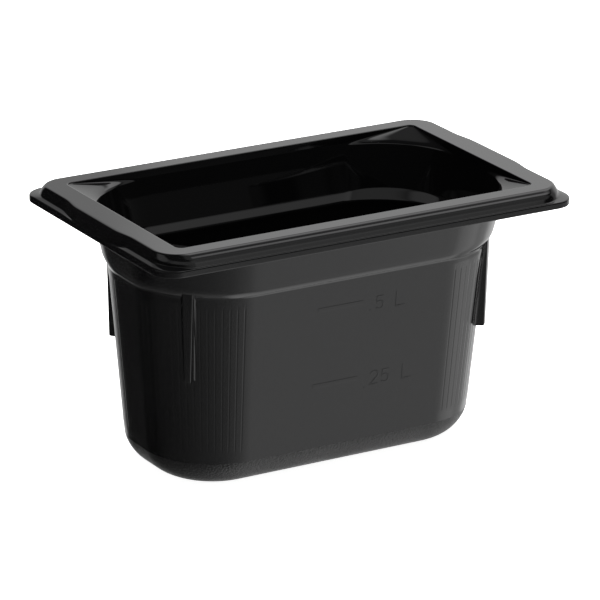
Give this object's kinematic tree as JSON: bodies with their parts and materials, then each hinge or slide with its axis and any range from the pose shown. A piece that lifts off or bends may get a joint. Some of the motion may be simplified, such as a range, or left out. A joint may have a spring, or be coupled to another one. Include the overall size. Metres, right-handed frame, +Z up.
{
  "type": "deli food pan",
  "caption": "Black plastic ninth-size deli food pan with a flat lid seat, an overhanging lip, a stacking shoulder and corner stacking lugs.",
  "frame": {"origin": "middle of the flat underside, at the level the pan stands on", "axes": "+Z up out of the mouth, +X along the long side, -Y towards the wall with the volume marks"},
  "size_m": [0.176, 0.108, 0.1025],
  "materials": {
    "gloss_black": "polished black polycarbonate",
    "grained_black": "fine moulded grain on black polycarbonate"
  },
  "bodies": {
    "root": {"rim_seat": "gloss_black", "rim_skirt": "gloss_black", "stacking_band": "gloss_black", "basin_wall": "gloss_black", "basin_floor": "grained_black", "stacking_lug_front_left": "gloss_black", "stacking_lug_front_right": "gloss_black", "stacking_lug_back_left": "gloss_black", "stacking_lug_back_right": "gloss_black", "fill_line_half_litre": "gloss_black", "fill_line_quarter_litre": "gloss_black"}
  },
  "joints": []
}
